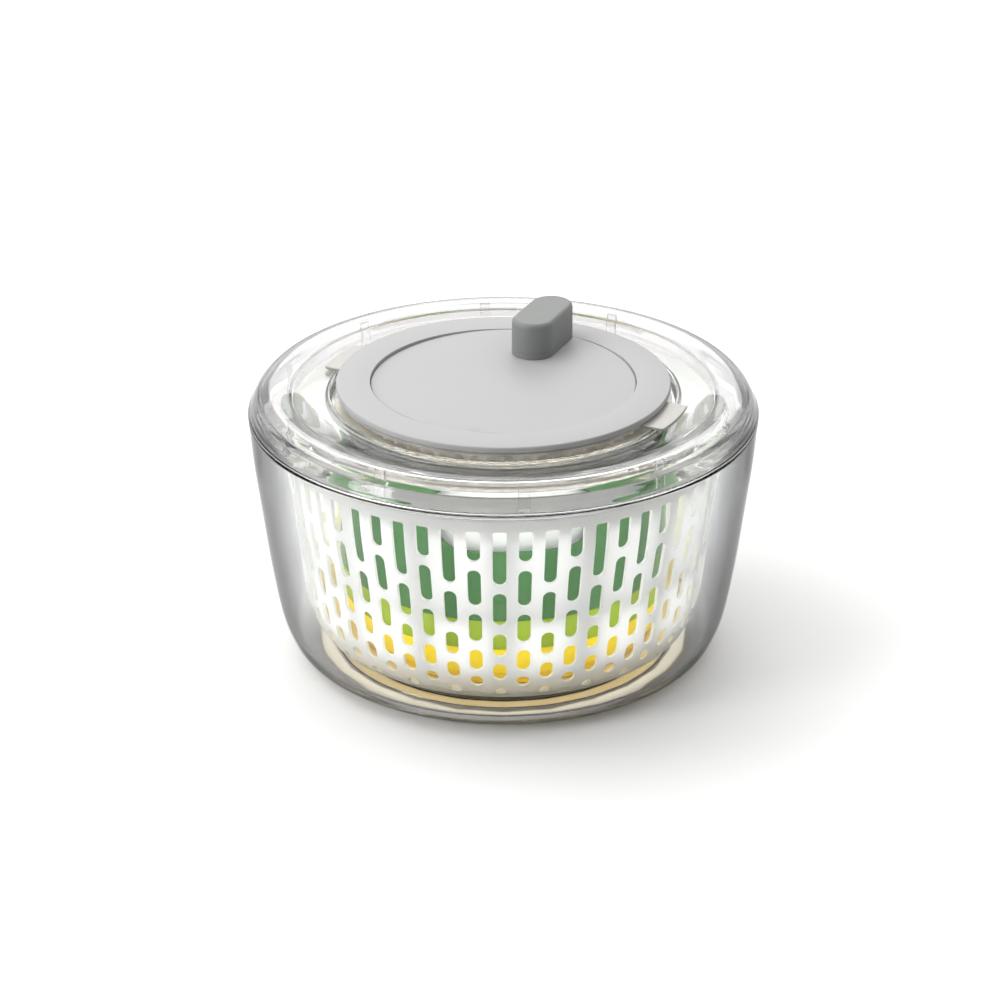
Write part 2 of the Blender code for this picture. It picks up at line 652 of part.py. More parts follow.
def make_coarse_body(material):
    """Lowest tool: a ring with a slicing deck and a foot that stands in the basket's dish."""
    profile = [(0.0, 29.6), (79.6, 29.6), (79.6, 21.2), (75.0, 15.2), (75.0, 12.2), (77.2, 12.2),
               (77.2, 14.4), (82.0, 20.4), (82.0, 33.9), (79.6, 33.9), (79.6, 31.8), (0.0, 31.8)]
    body = add_object("coarse_slicer_body", turned(profile), material)
    slot = plate([box_outline(66.0, 24.0, 0.0, 12.0)], 28.0, 33.0)
    combine(body, add_object("coarse_slot_cutter", slot, material), "DIFFERENCE")
    return body


def make_materials():
    return {
        "clear": plastic("clear_plastic", (0.93, 0.94, 0.94), 0.08, transmission=0.9),
        "white": plastic("basket_white", (0.90, 0.89, 0.87), 0.35),
        "foot": plastic("foot_grey", (0.62, 0.61, 0.58), 0.7),
        "disc": plastic("disc_grey", (0.64, 0.65, 0.65), 0.5),
        "knob": plastic("knob_grey", (0.33, 0.35, 0.34), 0.45),
        "smoke": plastic("housing_smoke", (0.62, 0.60, 0.54), 0.3, transmission=0.4),
        "gear": plastic("gear_white", (0.85, 0.85, 0.82), 0.4),
        "steel": plastic("steel", (0.60, 0.61, 0.62), 0.25, metallic=1.0),
        "green": plastic("slicer_green", (0.06, 0.26, 0.12), 0.35),
        "lime": plastic("grater_lime", (0.42, 0.56, 0.05), 0.35),
        "yellow": plastic("slicer_yellow", (0.80, 0.52, 0.02), 0.35),
        "grip": plastic("grip_frosted", (0.78, 0.80, 0.80), 0.3, transmission=0.5),
    }


def main():
    clear_scene()
    finish = make_materials()
    make_bowl(finish["clear"])
    make_bowl_wall(finish["clear"])
    make_foot_ring(finish["foot"])
    make_pivot_bush(finish["gear"])
    make_basket(finish["white"])
    make_basket_wall(finish["white"])
    make_basket_rim(finish["white"])
    make_lid_shell(finish["clear"])
    make_lid_ring(finish["clear"])
    make_lid_well(finish["clear"])
    make_gear_housing(finish["smoke"])
    make_gear_cover(finish["smoke"])
    make_handle_disc(finish["disc"])
    make_knob(finish["knob"])
    make_knob_screw(finish["steel"])
    make_planet_carrier(finish["gear"])
    for index, centre in enumerate(planet_centres()):
        make_planet(index, centre, finish["gear"], finish["steel"])
    make_sun_gear(finish["gear"])
    make_drive_spider(finish["clear"])
    make_thrust_washer(finish["gear"])
    make_centre_screw(finish["steel"])
    make_coarse_body(finish["yellow"])
    make_blade("coarse_blade", 2.0, COARSE_BLADE_Z, finish["steel"])
    make_grater_body(finish["lime"])
    make_grater_plate(finish["steel"])
    make_slicer_body(finish["green"])
    make_blade("slicer_blade", 4.0, SLICER_BLADE_Z, finish["steel"])
    make_food_grip(finish["grip"])


main()
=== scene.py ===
"""Salad spinner with stored tools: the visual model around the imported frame.

Profiles are lists of (radius, height) in millimetres, worked to metres when a mesh is made.
"""
import math

import bmesh
import bpy
from mathutils import Matrix, Vector


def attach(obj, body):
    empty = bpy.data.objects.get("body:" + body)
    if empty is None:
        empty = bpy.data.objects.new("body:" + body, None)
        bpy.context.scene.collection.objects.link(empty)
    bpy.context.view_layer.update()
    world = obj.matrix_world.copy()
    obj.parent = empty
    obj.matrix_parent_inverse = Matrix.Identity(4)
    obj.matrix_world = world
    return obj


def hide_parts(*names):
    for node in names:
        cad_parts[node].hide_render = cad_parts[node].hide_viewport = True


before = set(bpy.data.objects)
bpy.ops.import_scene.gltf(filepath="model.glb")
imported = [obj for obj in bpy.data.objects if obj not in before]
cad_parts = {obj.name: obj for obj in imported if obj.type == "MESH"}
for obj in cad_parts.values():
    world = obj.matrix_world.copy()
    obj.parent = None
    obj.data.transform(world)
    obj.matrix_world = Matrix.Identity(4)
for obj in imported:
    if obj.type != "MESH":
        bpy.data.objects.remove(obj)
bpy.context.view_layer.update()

MM = 0.001
FINE = 192  # steps round a full turn of the large round pieces
MEDIUM = 144  # steps round the pieces that are mostly hidden
TAU = 2 * math.pi
ON_AXIS = 1e-6
ROUND_CORNER = 50  # an edge that bends by more than this many degrees is rounded by bevel_edges


# ---------------------------------------------------------------- geometry helpers

def polar(radius, angle, z=0.0):
    """Point at a distance from the turning axis, at an angle round it."""
    return Vector((radius * math.cos(angle), radius * math.sin(angle), z))


def rounded(corners, steps=4):
    """Turn (r, z, fillet) corners of an outline into points, with each corner eased over its fillet."""
    points = []
    count = len(corners)
    for i, (r, z, fillet) in enumerate(corners):
        here = Vector((r, z))
        if fillet <= 0:
            points.append((r, z))
            continue
        before = Vector(corners[i - 1][:2]) - here
        after = Vector(corners[(i + 1) % count][:2]) - here
        start = here + before.normalized() * min(fillet, before.length * 0.49)
        end = here + after.normalized() * min(fillet, after.length * 0.49)
        for k in range(steps + 1):
            t = k / steps
            point = start * (1 - t) ** 2 + here * 2 * t * (1 - t) + end * t ** 2
            points.append((point.x, point.y))
    return points


def curve_through(points, steps=6):
    """Catmull-Rom curve through a few (r, z) points."""
    ends = [Vector(points[0]) * 2 - Vector(points[1])] + [Vector(p) for p in points]
    ends.append(Vector(points[-1]) * 2 - Vector(points[-2]))
    curve = []
    for a, b, c, d in zip(ends, ends[1:], ends[2:], ends[3:]):
        for k in range(steps):
            t = k / steps
            p = (b * 2 + (c - a) * t + (a * 2 - b * 5 + c * 4 - d) * t ** 2
                 + (b * 3 - a - c * 3 + d) * t ** 3) * 0.5
            curve.append((p.x, p.y))
    curve.append(tuple(points[-1]))
    return curve


def make_piece(name, bm, material, body, stands_for=(), smooth=35):
    """Turn a bmesh in millimetres into a shown piece that rides on a body."""
    bmesh.ops.recalc_face_normals(bm, faces=bm.faces)
    bmesh.ops.scale(bm, vec=(MM, MM, MM), verts=bm.verts)
    mesh = bpy.data.meshes.new(name)
    bm.to_mesh(mesh)
    bm.free()
    mesh.shade_smooth()
    mesh.set_sharp_from_angle(angle=math.radians(smooth))
    mesh.materials.append(material)
    piece = bpy.data.objects.new(name, mesh)
    bpy.context.scene.collection.objects.link(piece)
    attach(piece, body)
    if stands_for:
        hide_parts(*stands_for)
    return piece


def lathe_into(bm, profile, steps=FINE, warp=None):
    """Add a solid of revolution; the profile is closed, or starts and ends on the axis."""
    rings = []
    for r, z in profile:
        if r <= ON_AXIS:
            rings.append([bm.verts.new((0.0, 0.0, z))])
        else:
            rings.append([bm.verts.new(polar(r, TAU * i / steps, z)) for i in range(steps)])
    pairs = list(zip(rings, rings[1:]))
    if profile[0][0] > ON_AXIS:
        pairs.append((rings[-1], rings[0]))
    for low, high in pairs:
        for i in range(steps):
            j = (i + 1) % steps
            corners = [low[i % len(low)], low[j % len(low)], high[j % len(high)], high[i % len(high)]]
            face = list(dict.fromkeys(corners))
            if len(face) > 2:
                bm.faces.new(face)
    if warp:
        for ring in rings:
            for vert in ring:
                warp(vert)


def turned(profile, steps=FINE, warp=None):
    """A new bmesh that holds one solid of revolution."""
    bm = bmesh.new()
    lathe_into(bm, profile, steps, warp)
    return bm


def plate_into(bm, outlines, low_z, high_z):
    """Add a flat plate between two heights; the first outline is its edge and the rest are holes."""
    edges = []
    for outline in outlines:
        verts = [bm.verts.new((x, y, low_z)) for x, y in outline]
        edges += [bm.edges.new((verts[i - 1], verts[i])) for i in range(len(verts))]
    filled = bmesh.ops.triangle_fill(bm, use_beauty=True, use_dissolve=False, edges=edges)
    faces = [item for item in filled["geom"] if isinstance(item, bmesh.types.BMFace)]
    raised = bmesh.ops.extrude_face_region(bm, geom=faces)
    moved = [item for item in raised["geom"] if isinstance(item, bmesh.types.BMVert)]
    bmesh.ops.translate(bm, verts=moved, vec=(0, 0, high_z - low_z))


def circle(radius, steps=FINE):
    """Round (x, y) outline about the axis."""
    return [tuple(polar(radius, TAU * i / steps).xy) for i in range(steps)]


def bevel_edges(piece, width, segments=2, angle=ROUND_CORNER):
    """Round the sharp edges of a piece; the width is in millimetres."""
    modifier = piece.modifiers.new("EdgeRound", "BEVEL")
    modifier.width = width * MM
    modifier.segments = segments
    modifier.limit_method = "ANGLE"
    modifier.angle_limit = math.radians(angle)
    modifier.harden_normals = False


# ---------------------------------------------------------------- materials

def new_material(name):
    """A node material: itself, its nodes, its links and its Principled shader."""
    material = bpy.data.materials.new(name)
    material.use_nodes = True
    nodes = material.node_tree.nodes
    shader = nodes["Principled BSDF"]
    return material, nodes, material.node_tree.links, shader


def noise_of(nodes, links, scale, detail=3.0):
    """Value of a noise in object coordinates."""
    place = nodes.new("ShaderNodeTexCoord")
    noise = nodes.new("ShaderNodeTexNoise")
    noise.inputs["Scale"].default_value = scale
    noise.inputs["Detail"].default_value = detail
    links.new(place.outputs["Object"], noise.inputs["Vector"])
    return noise.outputs["Fac"]


def mapped(nodes, links, source, low, high, source_low=0.3, source_high=0.7):
    """The source value, 0.3 to 0.7 for a noise, spread from low to high."""
    spread = nodes.new("ShaderNodeMapRange")
    spread.inputs["From Min"].default_value = source_low
    spread.inputs["From Max"].default_value = source_high
    spread.inputs["To Min"].default_value = low
    spread.inputs["To Max"].default_value = high
    links.new(source, spread.inputs["Value"])
    return spread.outputs["Result"]


def blended(nodes, links, factor, first, second):
    """Colour that goes from the first to the second as the factor goes from 0 to 1."""
    mix = nodes.new("ShaderNodeMix")
    mix.data_type = "RGBA"
    mix.inputs["A"].default_value = (*first, 1)
    mix.inputs["B"].default_value = (*second, 1)
    links.new(factor, mix.inputs["Factor"])
    return mix.outputs["Result"]


def add_bump(nodes, links, shader, height, strength, distance):
    """Let a value raise and sink the surface, by up to the distance in metres."""
    bump = nodes.new("ShaderNodeBump")
    bump.inputs["Strength"].default_value = strength
    bump.inputs["Distance"].default_value = distance
    links.new(height, bump.inputs["Height"])
    links.new(bump.outputs["Normal"], shader.inputs["Normal"])


def plastic(name, colour, roughness=0.35, vary=0.05, grain=2600.0, bump=0.1, subsurface=0.0,
            transmission=0.0, specular=0.5):
    """Moulded plastic: slow drift of shade, fine grain in the gloss and in the surface."""
    material, nodes, links, shader = new_material(name)
    drift = noise_of(nodes, links, 18.0)
    darker = tuple(c * (1 - vary) for c in colour)
    lighter = tuple(min(c * (1 + vary), 1.0) for c in colour)
    factor = mapped(nodes, links, drift, 0.0, 1.0)
    links.new(blended(nodes, links, factor, darker, lighter), shader.inputs["Base Color"])
    fine = noise_of(nodes, links, grain, 2.0)
    gloss = mapped(nodes, links, fine, roughness * 0.88, roughness * 1.12)
    links.new(gloss, shader.inputs["Roughness"])
    shader.inputs["Specular IOR Level"].default_value = specular
    shader.inputs["Transmission Weight"].default_value = transmission
    if subsurface:
        shader.inputs["Subsurface Weight"].default_value = subsurface
        shader.inputs["Subsurface Radius"].default_value = (1.0, 0.9, 0.8)
        shader.inputs["Subsurface Scale"].default_value = 3 * MM
    if bump:
        add_bump(nodes, links, shader, fine, bump, 0.1 * MM)
    return material


CLEAR_IOR = 1.49
CLEAR_RIPPLE = 0.03


def ramp_by_slant(nodes, links, pairs, start):
    """A grey level that goes from start, seen straight on, through the pairs of slant and level."""
    slant = nodes.new("ShaderNodeLayerWeight")
    slant.inputs["Blend"].default_value = 0.5
    ramp = nodes.new("ShaderNodeValToRGB")
    ramp.color_ramp.elements[0].position = 0.0
    ramp.color_ramp.elements[0].color = (start, start, start, 1)
    ramp.color_ramp.elements[1].position = pairs[-1][0]
    for place, level in pairs[:-1]:
        ramp.color_ramp.elements.new(place).color = (level, level, level * 1.01, 1)
    last = pairs[-1][1]
    ramp.color_ramp.elements[len(pairs)].color = (last, last, last * 1.01, 1)
    links.new(slant.outputs["Facing"], ramp.inputs["Fac"])
    return ramp.outputs["Color"]


def clear_plastic(name, tint, roughness=0.015, absorb=0.0, glare=1.0, edge=(), dulled=()):
    """Clear moulded plastic: faint tint, uneven gloss, the ripple of a moulded wall, grey where it is deep,
    and painted shade towards its outline.

    The absorb value greys the light along its way through the wall, and glare scales the mirroring.
    The edge pairs give painted shade: how much of the colour is kept at a slant, from straight on, 0,
    to edge on, 1, so the outline is painted darker. The dulled pairs say how much of the surface is a
    dark mirror instead, which takes the glare off the outline and darkens it further.
    """
    material, nodes, links, shader = new_material(name)
    drift = noise_of(nodes, links, 9.0, 1.0)
    factor = mapped(nodes, links, drift, 0.0, 1.0)
    darker = tuple(c * 0.985 for c in tint)
    body_colour = blended(nodes, links, factor, darker, tint)
    if edge:
        # Painted shade: the colour is darkened by slant alone, darkest edge on.
        painted_edge_shade = ramp_by_slant(nodes, links, edge, 1.0)
        painted_edge_shade_mix = nodes.new("ShaderNodeMix")
        painted_edge_shade_mix.data_type = "RGBA"
        painted_edge_shade_mix.blend_type = "MULTIPLY"
        painted_edge_shade_mix.inputs["Factor"].default_value = 1.0
        links.new(body_colour, painted_edge_shade_mix.inputs["A"])
        links.new(painted_edge_shade, painted_edge_shade_mix.inputs["B"])
        body_colour = painted_edge_shade_mix.outputs["Result"]
    if dulled:
        # The dark mirror at a slant darkens the painted outline further.
        links.new(ramp_by_slant(nodes, links, dulled, 0.0), shader.inputs["Metallic"])
    links.new(body_colour, shader.inputs["Base Color"])
    shader.inputs["Specular Tint"].default_value = (glare, glare, glare, 1)
    links.new(mapped(nodes, links, drift, roughness * 0.7, roughness * 1.3),
              shader.inputs["Roughness"])
    shader.inputs["IOR"].default_value = CLEAR_IOR
    shader.inputs["Transmission Weight"].default_value = 1.0
    add_bump(nodes, links, shader, drift, CLEAR_RIPPLE, 4 * MM)
    if absorb:
        depth = nodes.new("ShaderNodeVolumeAbsorption")
        depth.inputs["Color"].default_value = (0.50, 0.51, 0.52, 1)
        depth.inputs["Density"].default_value = absorb
        links.new(depth.outputs["Volume"], nodes["Material Output"].inputs["Volume"])
    return material


def brushed_steel(name):
    """Steel with a fine grain drawn out along one way."""
    material, nodes, links, shader = new_material(name)
    place = nodes.new("ShaderNodeTexCoord")
    stretch = nodes.new("ShaderNodeMapping")
    stretch.inputs["Scale"].default_value = (1.0, 40.0, 1.0)
    links.new(place.outputs["Object"], stretch.inputs["Vector"])
    noise = nodes.new("ShaderNodeTexNoise")
    noise.inputs["Scale"].default_value = 60.0
    links.new(stretch.outputs["Vector"], noise.inputs["Vector"])
    grain = noise.outputs["Fac"]
    factor = mapped(nodes, links, grain, 0.0, 1.0)
    links.new(blended(nodes, links, factor, (0.52, 0.53, 0.54), (0.66, 0.67, 0.68)),
              shader.inputs["Base Color"])
    links.new(mapped(nodes, links, grain, 0.18, 0.34), shader.inputs["Roughness"])
    shader.inputs["Metallic"].default_value = 1.0
    add_bump(nodes, links, shader, grain, 0.05, 0.2 * MM)
    return material


# Painted shade and glow: the cream stands in for the shade in the dish and the yellow-tinged light that
# falls there.
DISH_PAINTED_GLOW = (0.86, 0.74, 0.50)


def basket_plastic(name):
    """Warm white moulded plastic, with painted shade and a painted yellow-tinged glow, cream, towards the
    dish at its foot.
    """
    material = plastic(name, (0.93, 0.92, 0.895), 0.36, vary=0.02, subsurface=0.6)
    nodes = material.node_tree.nodes
    links = material.node_tree.links
    shader = nodes["Principled BSDF"]
    white = shader.inputs["Base Color"].links[0].from_socket
    place = nodes.new("ShaderNodeTexCoord")
    split = nodes.new("ShaderNodeSeparateXYZ")
    links.new(place.outputs["Object"], split.inputs["Vector"])
    # Share of the painted cream glow and shade, growing towards the foot of the basket.
    painted_glow_share = mapped(nodes, links, split.outputs["Z"], 0.0, 1.0, 30 * MM, 10 * MM)
    mix = nodes.new("ShaderNodeMix")
    mix.data_type = "RGBA"
    mix.inputs["B"].default_value = (*DISH_PAINTED_GLOW, 1)
    links.new(painted_glow_share, mix.inputs["Factor"])
    links.new(white, mix.inputs["A"])
    links.new(mix.outputs["Result"], shader.inputs["Base Color"])
    return material


# Pairs of slant and level for the painted shade on the edges of the bowl and the lid, and for their dark
# mirror.
BOWL_PAINTED_EDGE_SHADE = ((0.46, 0.97), (0.53, 0.84), (0.60, 0.60), (0.667, 0.45), (0.75, 0.30), (0.86, 0.12),
             (1.0, 0.02))
LID_PAINTED_EDGE_SHADE = ((0.34, 0.95), (0.50, 0.74), (0.62, 0.57), (0.78, 0.32), (1.0, 0.03))
BOWL_DULLED = ((0.50, 0.0), (0.56, 0.03), (0.62, 0.12), (0.71, 0.35), (0.80, 0.65), (0.92, 0.9))
LID_DULLED = ((0.66, 0.0), (0.74, 0.15), (0.82, 0.45), (0.92, 0.8))
clear_mat = clear_plastic("bowl_clear", (0.99, 0.995, 0.993), absorb=42.0, glare=0.35, edge=BOWL_PAINTED_EDGE_SHADE,
                          dulled=BOWL_DULLED)
lid_mat = clear_plastic("lid_clear", (0.975, 0.966, 0.962), absorb=24.0, glare=0.6, edge=LID_PAINTED_EDGE_SHADE,
                        dulled=LID_DULLED)
basket_mat = basket_plastic("basket_satin")
# Its beige is partly its own colour and partly a painted warm reflection of the yellow slicer above.
foot_mat = plastic("foot_rubber", (0.80, 0.75, 0.64), 0.65, vary=0.06)
disc_mat = plastic("disc_matt", (0.40, 0.40, 0.40), 0.55, vary=0.012, grain=3600.0, bump=0.16,
                   specular=0.35)
knob_mat = plastic("knob_matt", (0.175, 0.184, 0.178), 0.5, vary=0.02, grain=3600.0, bump=0.16)
smoke_mat = plastic("housing_smoked", (0.90, 0.86, 0.77), 0.3, vary=0.03, transmission=0.45)
# A darker copy of the housing's smoked plastic: painted shade under the disc's edge.
flange_shaded_mat = plastic("flange_smoked_painted_shade", (0.50, 0.485, 0.45), 0.28, vary=0.04, transmission=0.3)
cover_mat = plastic("cover_frosted", (0.90, 0.89, 0.86), 0.35, vary=0.03, transmission=0.5)
gear_mat = plastic("gear_white_plastic", (0.88, 0.88, 0.85), 0.4, vary=0.03)
spider_mat = clear_plastic("spider_clear", (0.96, 0.97, 0.97), 0.06)
steel_mat = brushed_steel("steel_brushed")
green_mat = plastic("slicer_green_plastic", (0.035, 0.135, 0.032), 0.25, vary=0.12)
lime_mat = plastic("grater_lime_plastic", (0.25, 0.36, 0.007), 0.25, vary=0.12)
yellow_mat = plastic("slicer_yellow_plastic", (0.98, 0.74, 0.012), 0.25, vary=0.05)
grip_mat = plastic("grip_frosted_plastic", (0.60, 0.615, 0.605), 0.3, vary=0.02, subsurface=0.3)


# ---------------------------------------------------------------- bowl

bowl_outside = curve_through([(89.0, 0.6), (96.0, 1.2), (103.0, 3.0), (108.6, 7.0), (112.2, 14.0),
                              (115.6, 25.0), (119.8, 50.0), (123.6, 80.0), (126.6, 105.0),
                              (128.3, 126.7)])
bowl_inside = curve_through([(126.3, 126.7), (124.1, 105.0), (121.1, 80.0), (117.3, 50.0),
                             (113.1, 25.5), (109.8, 15.0), (106.6, 9.6), (101.8, 6.2), (95.0, 4.4),
                             (88.0, 4.0)])
bowl_rim = [(128.35, 127.2), (128.2, 127.6), (127.8, 127.7), (126.9, 127.7), (126.5, 127.5),
            (126.35, 127.1)]
bowl_base = [(0.0, 1.4), (79.0, 1.4), (79.1, 2.5), (79.5, 2.6), (86.6, 2.6), (86.95, 2.4), (87.0, 1.3),
             (87.4, 0.8)]
pivot = [(12.0, 4.0), (10.4, 4.3), (9.0, 5.2), (8.0, 6.4), (7.5, 8.0), (7.5, 17.0), (7.0, 18.0),
         (5.5, 18.5), (0.0, 18.5)]
make_piece("bowl_fine", turned(bowl_base + bowl_outside + bowl_rim + bowl_inside + pivot), clear_mat,
           "bowl", ["bowl", "bowl_wall"], smooth=40)

foot_profile = rounded([(79.35, 0.0, 0.5), (86.65, 0.0, 0.5), (86.65, 2.25, 0.3), (79.35, 2.25, 0.3)])
make_piece("foot_ring_fine", turned(foot_profile), foot_mat, "bowl", ["foot_ring"])


# ---------------------------------------------------------------- basket

BASKET_WALL = 1.8
COLUMN_PAIRS = 28
FIRST_COLUMN = math.radians(-90.92)
SLOT_HALF = 3.3  # half of a slot's width
SLOT_BENDS = 10  # steps round a slot's end
SLOT_PIECE = 4.0  # a slot's straight side is cut into stretches of at least this length
SQUARE_FROM_Z = 110.0  # a slot that reaches past this height has a square top
SQUARE_CORNER = 0.8
LONG_ROW = [(82.5, 112.3), (58.9, 77.8), (41.1, 54.2), (26.9, 36.9), (16.7, 21.4)]
SHIFTED_ROW = [(95.6, 112.3), (70.0, 91.0), (49.3, 65.5), (32.6, 45.0), (22.8, 29.0)]
WALL_LOW_Z = 14.9
WALL_HIGH_Z = 119.5
WALL_RISES = 24  # steps up the wall's height
WALL_SPANS = 6  # steps across a pair of columns
FLAT_RADIUS = 100.0  # the wall is laid out flat at this radius before it is wrapped round
wall_curve = curve_through([(94.5, 14.8), (98.0, 20.0), (100.4, 27.0), (102.9, 39.0), (105.9, 67.0),
                            (110.9, 98.0), (112.4, 112.0), (113.0, 119.6)], 8)


def wall_radius(z):
    """Outer radius of the basket's wall at a height."""
    for (r0, z0), (r1, z1) in zip(wall_curve, wall_curve[1:]):
        if z <= z1:
            return r0 + (r1 - r0) * (z - z0) / (z1 - z0)
    return wall_curve[-1][0]


def slot_outline(centre, low_z, high_z):
    """(angle, z) points of one slot with round ends, its straight sides cut into short lengths."""
    square_top = high_z > SQUARE_FROM_Z
    middle_z = (low_z + high_z) / 2
    reach = SLOT_HALF / wall_radius(middle_z)
    low_bend = low_z + SLOT_HALF
    high_bend = high_z - (SQUARE_CORNER if square_top else SLOT_HALF)
    pieces = max(int((high_bend - low_bend) / SLOT_PIECE), 1)
    rise = (high_bend - low_bend) / pieces
    right = [(centre + reach, low_bend + rise * k) for k in range(1, pieces)]
    left = [(centre - reach, z) for _, z in reversed(right)]
    bends = [math.pi * k / SLOT_BENDS for k in range(SLOT_BENDS + 1)]
    under = [(centre - reach * math.cos(bend), low_bend - SLOT_HALF * math.sin(bend)) for bend in bends]
    over = [(centre + reach * math.cos(bend), high_bend + SLOT_HALF * math.sin(bend)) for bend in bends]
    if square_top:
        corner = reach * 0.8
        over = [(centre + reach, high_bend), (centre + corner, high_z), (centre, high_z),
                (centre - corner, high_z), (centre - reach, high_bend)]
    return under + right + over + left


def flat_period(width):
    """One pair of columns as (angle, z) outlines: the edge first and then the slots."""
    rises = [WALL_LOW_Z + (WALL_HIGH_Z - WALL_LOW_Z) * k / WALL_RISES for k in range(WALL_RISES + 1)]
    across = [width * k / WALL_SPANS for k in range(1, WALL_SPANS)]
    edge = [(0.0, z) for z in reversed(rises)] + [(angle, WALL_LOW_Z) for angle in across]
    edge += [(width, z) for z in rises] + [(angle, WALL_HIGH_Z) for angle in reversed(across)]
    outlines = [edge]
    outlines += [slot_outline(width * 0.25, low_z, high_z) for low_z, high_z in LONG_ROW]
    outlines += [slot_outline(width * 0.75, low_z, high_z) for low_z, high_z in SHIFTED_ROW]
    return outlines


def thicken(bm, inner_place):
    """Close an open sheet into a wall: inner_place gives each vertex's partner on the far side."""
    sheet_faces = list(bm.faces)
    rims = [edge for edge in bm.edges if edge.is_boundary]
    partner = {vert: bm.verts.new(inner_place(vert.co)) for vert in list(bm.verts)}
    for face in sheet_faces:
        bm.faces.new([partner[vert] for vert in reversed(face.verts)])
    for edge in rims:
        a, b = edge.verts
        bm.faces.new([a, b, partner[b], partner[a]])


def slotted_wall():
    """The basket's wall: one flat pair of columns is filled, then repeated round the axis."""
    width = TAU / COLUMN_PAIRS
    flat = bmesh.new()
    edges = []
    for outline in flat_period(width):
        verts = [flat.verts.new((angle * FLAT_RADIUS, z, 0.0)) for angle, z in outline]
        edges += [flat.edges.new((verts[i - 1], verts[i])) for i in range(len(verts))]
    bmesh.ops.triangle_fill(flat, use_beauty=True, use_dissolve=False, edges=edges)
    flat.verts.index_update()
    spots = [(vert.co.x / FLAT_RADIUS, vert.co.y) for vert in flat.verts]
    triangles = [[vert.index for vert in face.verts] for face in flat.faces]
    flat.free()
    wall = bmesh.new()
    for pair in range(COLUMN_PAIRS):
        start = FIRST_COLUMN - width * 0.25 + width * pair
        verts = [wall.verts.new(polar(wall_radius(z), start + angle, z)) for angle, z in spots]
        for triangle in triangles:
            wall.faces.new([verts[i] for i in triangle])
    bmesh.ops.remove_doubles(wall, verts=wall.verts, dist=0.01)

    def inner_place(co):
        radius = math.hypot(co.x, co.y)
        inner = (radius - BASKET_WALL) / radius
        return (co.x * inner, co.y * inner, co.z)

    thicken(wall, inner_place)
    return wall


def swept_arc_into(bm, profile, start, end, steps):
    """Add part of a ring between two angles, with flat ends."""
    rings = [[bm.verts.new(polar(r, start + (end - start) * i / steps, z)) for r, z in profile]
             for i in range(steps + 1)]
    count = len(profile)
    for a, b in zip(rings, rings[1:]):
        for k in range(count):
            bm.faces.new([a[k], a[(k + 1) % count], b[(k + 1) % count], b[k]])
    bm.faces.new(rings[0])
    bm.faces.new(list(reversed(rings[-1])))


basket_bm = slotted_wall()
basket_floor = [(0.0, 21.4), (11.4, 21.4), (11.4, 10.0), (80.0, 10.0), (88.0, 11.2), (91.6, 12.6),
                (94.5, 14.8), (96.6, 17.4), (94.8, 18.6), (92.8, 16.6), (90.2, 14.6), (87.0, 13.2),
                (79.5, 11.8), (14.0, 11.8), (13.8, 23.0), (13.2, 23.6), (0.0, 23.6)]
lathe_into(basket_bm, basket_floor, MEDIUM)
rim_profile = rounded([(111.2, 119.3, 0), (113.4, 119.3, 0.4), (119.0, 121.0, 0.8), (119.0, 123.5, 0.7),
                       (111.4, 123.5, 0.7)], 3)
NOTCHES = 3  # gaps in the rim for the drive spider's arms
NOTCH_HALF = math.radians(3.49)
for arm in range(NOTCHES):
    first = TAU / 4 + TAU * arm / NOTCHES + NOTCH_HALF
    swept_arc_into(basket_bm, rim_profile, first, first + TAU / NOTCHES - 2 * NOTCH_HALF, 60)
basket = make_piece("basket_fine", basket_bm, basket_mat, "basket",
                    ["basket", "basket_wall", "basket_rim"], smooth=38)
bevel_edges(basket, 0.45)


# ---------------------------------------------------------------- lid

crest = curve_through([(128.4, 129.0), (127.9, 129.9), (126.9, 131.4), (126.2, 133.0), (125.3, 135.0),
                       (124.0, 137.0), (122.4, 138.7), (120.0, 140.4), (116.0, 141.3), (112.0, 140.9),
                       (106.0, 139.5), (100.0, 137.9), (95.0, 137.1), (89.4, 136.7)], 5)
well = [(88.9, 136.9), (88.6, 137.3), (88.3, 137.65), (87.9, 137.75), (87.2, 137.75), (86.95, 137.6),
        (86.85, 137.3), (86.8, 132.0), (86.5, 131.5), (86.0, 131.4), (80.2, 131.4), (79.9, 131.3),
        (79.8, 131.0), (79.8, 129.8), (79.9, 129.5), (80.2, 129.4), (87.4, 129.4), (88.1, 129.7),
        (88.3, 130.3)]
underside = curve_through([(88.4, 134.2), (95.0, 134.6), (100.0, 135.3), (106.1, 136.9)], 4)
inner_rib = [(106.2, 130.0), (106.4, 129.65), (107.6, 129.65), (107.8, 130.0), (107.9, 137.3)]
inner_crest = curve_through([(108.4, 137.5), (112.0, 138.2), (116.0, 138.7), (119.2, 137.8),
                             (120.8, 136.6)], 4)
lid_ring = [(121.0, 136.0), (121.0, 124.5), (121.3, 124.1), (121.8, 124.0), (122.5, 124.0), (122.9, 124.2),
            (123.0, 124.6), (123.0, 135.4), (123.2, 135.3)]
skirt = [(123.6, 134.5), (124.1, 133.0), (124.6, 131.5), (125.3, 128.6), (125.6, 128.25), (127.9, 128.2),
         (128.3, 128.4)]
lid_bm = turned(crest + well + underside + inner_rib + inner_crest + lid_ring + skirt)
make_piece("lid_shell_fine", lid_bm, lid_mat, "lid", ["lid_shell", "lid_ring", "lid_well"],
           smooth=40)

